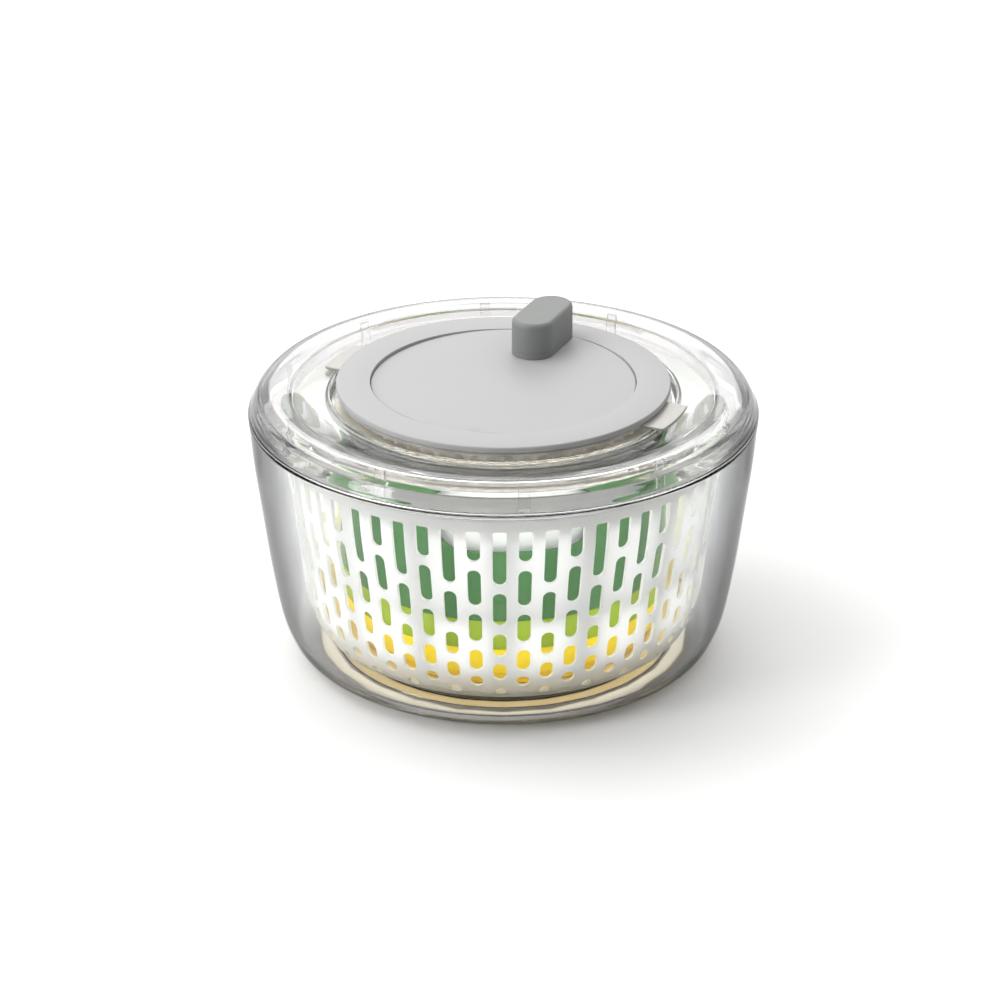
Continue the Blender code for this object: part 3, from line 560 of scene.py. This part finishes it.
POSTS = 10
FIRST_POST = math.radians(-85)
POST_HALF = 0.0245  # half of a post's width, as an angle
POST_PROFILE = [(111.7, 124.9), (112.0, 124.6), (113.1, 124.6), (113.4, 124.9), (113.4, 138.3),
                (111.7, 138.1)]
post_bm = bmesh.new()
for step in range(POSTS):
    centre = FIRST_POST + TAU * step / POSTS
    swept_arc_into(post_bm, POST_PROFILE, centre - POST_HALF, centre + POST_HALF, 2)
posts = make_piece("lid_posts", post_bm, lid_mat, "lid")
bevel_edges(posts, 0.3)


# ---------------------------------------------------------------- turning gear under the disc

RING_TEETH = 48
MODULE = 3.0
PRESSURE = math.radians(20)
TIP_R = 69.75
ROOT_R = 75.0
TOOTH_PLAY = 0.35
FLANK_STEPS = 4


def involute(angle):
    """How far an involute flank has turned where its pressure angle is this angle."""
    return math.tan(angle) - angle


def ring_gear_outline():
    """Inner outline of the ring: each space between two teeth, flank up and flank down."""
    pitch_r = MODULE * RING_TEETH / 2
    base_r = pitch_r * math.cos(PRESSURE)
    space_half = math.pi / (2 * RING_TEETH) + TOOTH_PLAY / pitch_r
    outline = []
    for tooth in range(RING_TEETH):
        centre = TAU * tooth / RING_TEETH
        flank = []
        for k in range(FLANK_STEPS + 1):
            radius = TIP_R + (ROOT_R - TIP_R) * k / FLANK_STEPS
            pressure = math.acos(min(base_r / radius, 1.0))
            half = space_half + involute(PRESSURE) - involute(pressure)
            flank.append((radius, half))
        for radius, half in flank:
            outline.append(tuple(polar(radius, centre - half).xy))
        for radius, half in reversed(flank):
            outline.append(tuple(polar(radius, centre + half).xy))
    return outline


def ribbed_circle(radius, depth, ribs, steps_each=8):
    """Circle with shallow round ribs standing out of it."""
    count = ribs * steps_each
    points = []
    for i in range(count):
        wave = 0.5 + 0.5 * math.cos(TAU * i / steps_each)
        points.append(tuple(polar(radius - depth * (1 - wave), TAU * i / count).xy))
    return points


TAB_AZIMUTHS = (math.radians(-25), math.radians(155))
TAB_HALF = math.radians(10.4)
TAB_EASE = math.radians(0.9)


def tabbed_circle(radius, tab_radius, steps=720):
    """Circle with two tabs whose corners are eased over a small angle."""
    points = []
    for i in range(steps):
        angle = TAU * i / steps
        away = min(abs((angle - tab + math.pi) % TAU - math.pi) for tab in TAB_AZIMUTHS)
        t = min(max((TAB_HALF + TAB_EASE - away) / (2 * TAB_EASE), 0.0), 1.0)
        lift = t * t * (3 - 2 * t)
        points.append(tuple(polar(radius + (tab_radius - radius) * lift, angle).xy))
    return points


housing_bm = bmesh.new()
plate_into(housing_bm, [ribbed_circle(78.4, 2.0, 60), ring_gear_outline()], 125.5, 138.3)
make_piece("gear_housing_fine", housing_bm, smoke_mat, "lid", ["gear_housing"])
flange_bm = bmesh.new()
plate_into(flange_bm, [tabbed_circle(83.2, 94.4), circle(71.5)], 138.15, 139.65)
# The flange's darker grey is painted shade under the disc.
flange = make_piece("housing_flange", flange_bm, flange_shaded_mat, "lid")
bevel_edges(flange, 0.4, 3)
collar_bm = turned(rounded([(76.9, 131.8, 0), (84.8, 131.8, 0.3), (84.8, 133.5, 0.3), (76.9, 133.5, 0)]))
make_piece("housing_collar", collar_bm, smoke_mat, "lid")
cover_profile = rounded([(9.6, 123.2, 0.3), (78.0, 123.2, 0.5), (78.0, 125.1, 0.3), (9.6, 125.1, 0.3)])
make_piece("gear_cover_fine", turned(cover_profile), cover_mat, "lid", ["gear_cover"])


# ---------------------------------------------------------------- crank disc and knob

DISC_TOP = 143.3
RECESS_R = 66.9
RECESS_DEPTH = 1.7  # at its two deepest places, on either side of the knob's axis
RECESS_STEP = 0.03  # everywhere else at least this much
INNER_FACE = -200.0  # stands for the inner face in the profile, because its height varies
KNOB_AZIMUTH = math.radians(66.4)
knob_centre = polar(50.1, KNOB_AZIMUTH)


def recess_floor(x, y):
    """Height of the inner face: level along the knob's axis, falling away to either side of it."""
    across = y * math.cos(KNOB_AZIMUTH) - x * math.sin(KNOB_AZIMUTH)
    return DISC_TOP - max(RECESS_DEPTH * (across / RECESS_R) ** 2, RECESS_STEP)


def shape_recess(vert):
    """Put a vertex of the inner face at its height; one below INNER_FACE lies in a groove."""
    if vert.co.z < 0:
        groove = INNER_FACE - vert.co.z
        vert.co.z = recess_floor(vert.co.x, vert.co.y)
        vert.co.z -= groove * (DISC_TOP - vert.co.z)


disc_profile = [(0.0, 137.6), (68.0, 137.6), (68.0, 140.0), (83.2, 140.0), (83.7, 140.15), (84.0, 140.6),
                (84.0, 142.5), (83.85, 142.95), (83.6, 143.2), (83.2, DISC_TOP), (67.2, DISC_TOP),
                (67.0, 143.28)]
inner_face = [(RECESS_R, INNER_FACE - 0.8), (66.4, INNER_FACE - 0.8), (66.3, INNER_FACE)]
inner_face += [(66.4 - 8.3 * k, INNER_FACE) for k in range(1, 8)]
inner_face.append((0.0, INNER_FACE))
make_piece("handle_disc_fine", turned(disc_profile + inner_face, warp=shape_recess), disc_mat,
           "crank", ["handle_disc"], smooth=30)


def obround(half_length, half_width, steps=24):
    """Outline with two straight sides and two half-round ends, long along X."""
    reach = half_length - half_width
    outline = []
    for side in (1, -1):
        for i in range(steps + 1):
            angle = -math.pi / 2 + math.pi * i / steps
            outline.append((side * (reach + half_width * math.cos(angle)),
                            side * half_width * math.sin(angle)))
    return outline


KNOB_TOP = 162.3
KNOB_HALF_LENGTH = 22.8
KNOB_HALF_WIDTH = 11.1
KNOB_DRAFT = 0.06
KNOB_ROUND = 2.3  # radius of the soft top edge


def knob_mesh():
    """Upright oblong knob: soft top edge, slight draft, a parting seam low on its side."""
    levels = [(DISC_TOP, 0.25), (143.5, 0.0), (146.3, 0.0), (146.45, 0.2), (146.65, 0.2), (146.8, 0.0),
              (160.0, KNOB_DRAFT)]
    for k in range(1, 7):
        bend = math.pi / 2 * k / 6
        levels.append((KNOB_TOP - KNOB_ROUND * (1 - math.sin(bend)),
                       KNOB_DRAFT + KNOB_ROUND * (1 - math.cos(bend))))
    levels += [(KNOB_TOP, inset) for inset in (3.2, 4.0, 4.8)]
    bm = bmesh.new()
    rows = []
    for z, inset in levels:
        outline = obround(KNOB_HALF_LENGTH - inset, KNOB_HALF_WIDTH - inset)
        rows.append([bm.verts.new((x, y, z)) for x, y in outline])
    count = len(rows[0])
    for low, high in zip(rows, rows[1:]):
        for i in range(count):
            bm.faces.new([low[i - 1], low[i], high[i], high[i - 1]])
    bm.faces.new(rows[-1])
    bm.faces.new(list(reversed(rows[0])))
    turn = Matrix.Translation(knob_centre) @ Matrix.Rotation(KNOB_AZIMUTH, 4, "Z")
    bmesh.ops.transform(bm, matrix=turn, verts=bm.verts)
    return bm


make_piece("knob_fine", knob_mesh(), knob_mat, "crank", ["knob"], smooth=30)


# ---------------------------------------------------------------- stored tools

NOTCH_AZIMUTH = math.radians(-86)
NOTCH_FLOOR_Z = 87.0
NOTCH_FLOOR_HALF = 38.0
NOTCH_CORNER = 11.0
PLAIN_STEPS = 168  # steps round a full turn of the green wall, away from its notch


def wall_with_notch(bm, inner_r, outer_r, low_z, high_z, dip_points, rows=5):
    """Upright round wall whose top edge dips along (x, z) points either side of the notch's azimuth."""
    dips = [(NOTCH_AZIMUTH + math.asin(x / outer_r), z) for x, z in dip_points]
    rest = TAU - (dips[-1][0] - dips[0][0])
    plain = int(PLAIN_STEPS * rest / TAU)
    tops = dips + [(dips[-1][0] + rest * k / plain, high_z) for k in range(1, plain)]
    rings = []
    for angle, top in tops:
        column = []
        for radius in (outer_r, inner_r):
            column.append([bm.verts.new(polar(radius, angle, low_z + (top - low_z) * k / rows))
                           for k in range(rows + 1)])
        rings.append(column)
    for i, (outer, inner) in enumerate(rings):
        outer_next, inner_next = rings[(i + 1) % len(rings)]
        for k in range(rows):
            bm.faces.new([outer[k], outer_next[k], outer_next[k + 1], outer[k + 1]])
            bm.faces.new([inner[k], inner[k + 1], inner_next[k + 1], inner_next[k]])
        bm.faces.new([outer[rows], outer_next[rows], inner_next[rows], inner[rows]])
        bm.faces.new([outer[0], inner[0], inner_next[0], outer_next[0]])


def notch_points():
    """Wide U with a level floor, round corners and flaring sides, as (x, z) points."""
    corner_x = NOTCH_FLOOR_HALF - NOTCH_CORNER
    right = [(corner_x, NOTCH_FLOOR_Z)]
    for k in range(1, 9):
        bend = math.pi / 2 * k / 8
        right.append((corner_x + NOTCH_CORNER * math.sin(bend),
                      NOTCH_FLOOR_Z + NOTCH_CORNER * (1 - math.cos(bend))))
    right += [(40.0, 101.0), (43.0, 106.0), (46.5, 110.5), (49.0, 112.6), (51.0, 113.0)]
    flat = [(x, NOTCH_FLOOR_Z) for x in (-20.0, -13.0, -6.0, 0.0, 6.0, 13.0, 20.0)]
    left = [(-x, z) for x, z in reversed(right)]
    return left + flat + right


SLICE_SLOT_LENGTH = 66.0
SLICE_SLOT_Y = 12.0
SLICE_SLOT_CORNER = 3.0


def deck_with_slot(bm, radius, low_z, high_z, slot_width):
    """Round deck of a slicer with the oblong slot that its slices fall through."""
    corner = SLICE_SLOT_CORNER
    slot = []
    for sx, sy, start in ((1, 1, 0), (-1, 1, 90), (-1, -1, 180), (1, -1, 270)):
        for k in range(5):
            angle = math.radians(start + 90 * k / 4)
            slot.append((sx * (SLICE_SLOT_LENGTH / 2 - corner) + corner * math.cos(angle),
                         SLICE_SLOT_Y + sy * (slot_width / 2 - corner) + corner * math.sin(angle)))
    plate_into(bm, [circle(radius, MEDIUM), slot], low_z, high_z)


slicer_bm = bmesh.new()
wall_with_notch(slicer_bm, 81.6, 84.0, 50.7, 113.0, notch_points())
deck_with_slot(slicer_bm, 82.4, 56.0, 58.4, 22.0)
slicer = make_piece("slicer_body_fine", slicer_bm, green_mat, "slicer", ["slicer_body"])
bevel_edges(slicer, 0.4, angle=40)

grater_profile = rounded([(62.0, 44.5, 0.3), (80.6, 44.5, 0), (80.6, 34.3, 0.3), (83.0, 34.3, 0.5),
                          (83.0, 50.2, 0.6), (80.6, 50.2, 0.4), (80.6, 46.5, 0), (62.0, 46.5, 0.3)])
make_piece("grater_body_fine", turned(grater_profile, MEDIUM), lime_mat, "grater", ["grater_body"])

coarse_profile = rounded([(79.6, 22.0, 0), (79.6, 21.2, 0), (75.0, 15.2, 0.6), (75.0, 12.2, 0.3),
                          (77.2, 12.2, 0.6), (77.2, 14.4, 0.4), (82.0, 20.4, 0.8), (82.0, 33.9, 0.6),
                          (79.6, 33.9, 0.4)])
coarse_bm = turned(coarse_profile, MEDIUM)
deck_with_slot(coarse_bm, 80.4, 29.6, 31.8, 24.0)
make_piece("coarse_body_fine", coarse_bm, yellow_mat, "coarse_slicer", ["coarse_slicer_body"])

grip_profile = rounded([(0.0, 104.0, 0), (75.8, 104.0, 1.0), (75.8, 58.8, 0.4), (78.0, 58.8, 0.6),
                        (78.0, 107.0, 2.4), (20.0, 107.0, 3.0), (14.0, 112.0, 2.0), (11.0, 113.4, 1.0),
                        (0.0, 113.4, 0)])
grip_bm = turned(grip_profile, MEDIUM)
PRONGS = 8  # they hold the food from above, in an inner and an outer ring
for i in range(PRONGS):
    middle = polar(26.0 if i % 2 else 42.0, TAU * i / PRONGS + math.radians(10), 87.0)
    bmesh.ops.create_cone(grip_bm, cap_ends=True, segments=16, radius1=1.0, radius2=2.2, depth=36.0,
                          matrix=Matrix.Translation(middle))
make_piece("food_grip_fine", grip_bm, grip_mat, "food_grip", ["food_grip"])


# ---------------------------------------------------------------- finishes of the plain CAD pieces

FINISHES = (
    (gear_mat, ["pivot_bush", "planet_carrier", "planet_gear_1", "planet_gear_2", "planet_gear_3",
                "sun_gear", "thrust_washer"]),
    (steel_mat, ["knob_screw", "planet_pin_1", "planet_pin_2", "planet_pin_3", "centre_screw",
                 "coarse_blade", "grater_plate", "slicer_blade"]),
    (spider_mat, ["drive_spider"]),
)
for finish, names in FINISHES:
    for node in names:
        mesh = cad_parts[node].data
        mesh.materials.clear()
        mesh.materials.append(finish)


# ---------------------------------------------------------------- floor, light and camera

floor_material, floor_nodes, floor_links, floor_shader = new_material("floor_paper")
floor_noise = noise_of(floor_nodes, floor_links, 3.0)
floor_factor = mapped(floor_nodes, floor_links, floor_noise, 0.0, 1.0)
floor_links.new(blended(floor_nodes, floor_links, floor_factor, (0.90, 0.90, 0.90), (0.91, 0.91, 0.905)),
                floor_shader.inputs["Base Color"])
floor_shader.inputs["Roughness"].default_value = 0.9
floor_shader.inputs["Specular IOR Level"].default_value = 0.1
floor_mesh = bpy.data.meshes.new("floor")
FLOOR_HALF = 8.0
corners = [(x * FLOOR_HALF, y * FLOOR_HALF, 0) for x, y in ((-1, -1), (1, -1), (1, 1), (-1, 1))]
floor_mesh.from_pydata(corners, [], [(0, 1, 2, 3)])
floor_mesh.materials.append(floor_material)
floor = bpy.data.objects.new("floor", floor_mesh)
bpy.context.scene.collection.objects.link(floor)

world = bpy.data.worlds.new("studio")
world.use_nodes = True
bpy.context.scene.world = world
sky_nodes = world.node_tree.nodes
sky_links = world.node_tree.links
background = sky_nodes["Background"]
background.inputs["Color"].default_value = (1.0, 0.998, 0.995, 1)
where = sky_nodes.new("ShaderNodeTexCoord")
split = sky_nodes.new("ShaderNodeSeparateXYZ")
sky_links.new(where.outputs["Generated"], split.inputs["Vector"])


def sky_part(source, from_low, from_high, low, high):
    """Share of the sky's strength that changes smoothly along one coordinate of the direction."""
    part = sky_nodes.new("ShaderNodeMapRange")
    part.interpolation_type = "SMOOTHSTEP"
    part.inputs["From Min"].default_value = from_low
    part.inputs["From Max"].default_value = from_high
    part.inputs["To Min"].default_value = low
    part.inputs["To Max"].default_value = high
    sky_links.new(source, part.inputs["Value"])
    return part.outputs["Result"]


towards_back = sky_part(split.outputs["Y"], -0.75, 0.1, 0.36, 1.0)
upwards = sky_part(split.outputs["Z"], 0.0, 0.6, 0.90, 1.32)
leftwards = sky_part(split.outputs["X"], -0.8, 0.8, 1.15, 0.85)
strength = towards_back
for share in (upwards, leftwards):
    product = sky_nodes.new("ShaderNodeMath")
    product.operation = "MULTIPLY"
    sky_links.new(strength, product.inputs[0])
    sky_links.new(share, product.inputs[1])
    strength = product.outputs["Value"]
sky_links.new(strength, background.inputs["Strength"])


WHITE = (1.0, 1.0, 1.0)
AMBER = (1.0, 0.80, 0.40)
CREAM = (1.0, 0.92, 0.72)


def add_light(name, place, target, size, power, colour=WHITE):
    """Area light turned to its target; places and sizes in metres, power in watts."""
    light = bpy.data.lights.new(name, "AREA")
    light.shape = "RECTANGLE"
    light.size = size[0]
    light.size_y = size[1]
    light.energy = power
    light.color = colour
    lamp = bpy.data.objects.new(name, light)
    lamp.location = place
    lamp.rotation_euler = (Vector(target) - Vector(place)).to_track_quat("-Z", "Y").to_euler()
    bpy.context.scene.collection.objects.link(lamp)
    return lamp


def add_fill_ring(name, radius, z, size, power, facing="in", count=10, colour=WHITE):
    """Ring of small panels, in millimetres, that are seen only by the light that they cast."""
    panel = (size[0] * MM, size[1] * MM)
    for k in range(count):
        angle = TAU * (k + 0.5) / count
        place = polar(radius * MM, angle, z * MM)
        target = {"in": (0, 0, z * MM), "out": place * 2 - Vector((0, 0, z * MM)),
                  "down": place - Vector((0, 0, 0.1))}[facing]
        lamp = add_light("%s_%d" % (name, k + 1), place, target, panel, power, colour)
        if facing == "down":
            lamp.rotation_euler = (0, 0, angle + math.pi / 2)
        lamp.visible_camera = False
        lamp.visible_glossy = False
        lamp.visible_transmission = False


add_light("key", (-1.2, 0.3, 1.9), (0, 0, 0.05), (1.3, 1.3), 13.0)
add_light("side", (-1.2, -0.75, 0.5), (0, 0, 0.12), (0.5, 0.5), 9.0)
add_light("back", (0.2, 1.9, 1.3), (0, 0, 0.1), (1.8, 0.9), 12.0)

# Panels inside the clear walls stand for the light that translucent plastic passes on.
add_fill_ring("tool_fill", 96.0, 70.0, (44.0, 76.0), 0.010)
add_fill_ring("basket_fill", 90.0, 70.0, (44.0, 70.0), 0.006, "out")
add_fill_ring("wall_fill_low", 109.5, 44.0, (32.0, 28.0), 0.0022, "in", 16)
add_fill_ring("wall_fill_high", 115.8, 86.0, (34.0, 44.0), 0.0032, "in", 16)
add_fill_ring("lid_fill", 104.0, 125.5, (60.0, 7.0), 0.022)
add_fill_ring("housing_fill", 85.8, 135.8, (20.0, 3.0), 0.0003, "in", 20)
add_fill_ring("foot_fill", 83.0, 2.42, (22.0, 6.4), 0.0004, "down", 24, AMBER)
add_fill_ring("base_fill", 91.6, 0.45, (25.0, 7.0), 0.0006, "down", 24, CREAM)

camera_data = bpy.data.cameras.new("camera")
camera_data.sensor_width = 36.0
camera_data.lens = 105.8
camera = bpy.data.objects.new("camera", camera_data)
camera.location = (0.0, -1.3589, 0.7201)
aim = Vector((-0.0017, 0.0, 0.076)) - camera.location
camera.rotation_euler = aim.to_track_quat("-Z", "Y").to_euler()
bpy.context.scene.collection.objects.link(camera)
bpy.context.scene.camera = camera
bpy.context.scene.view_settings.view_transform = "Standard"
light_paths = bpy.context.scene.cycles
light_paths.max_bounces = 32
light_paths.transmission_bounces = 32
light_paths.diffuse_bounces = 8
light_paths.glossy_bounces = 12
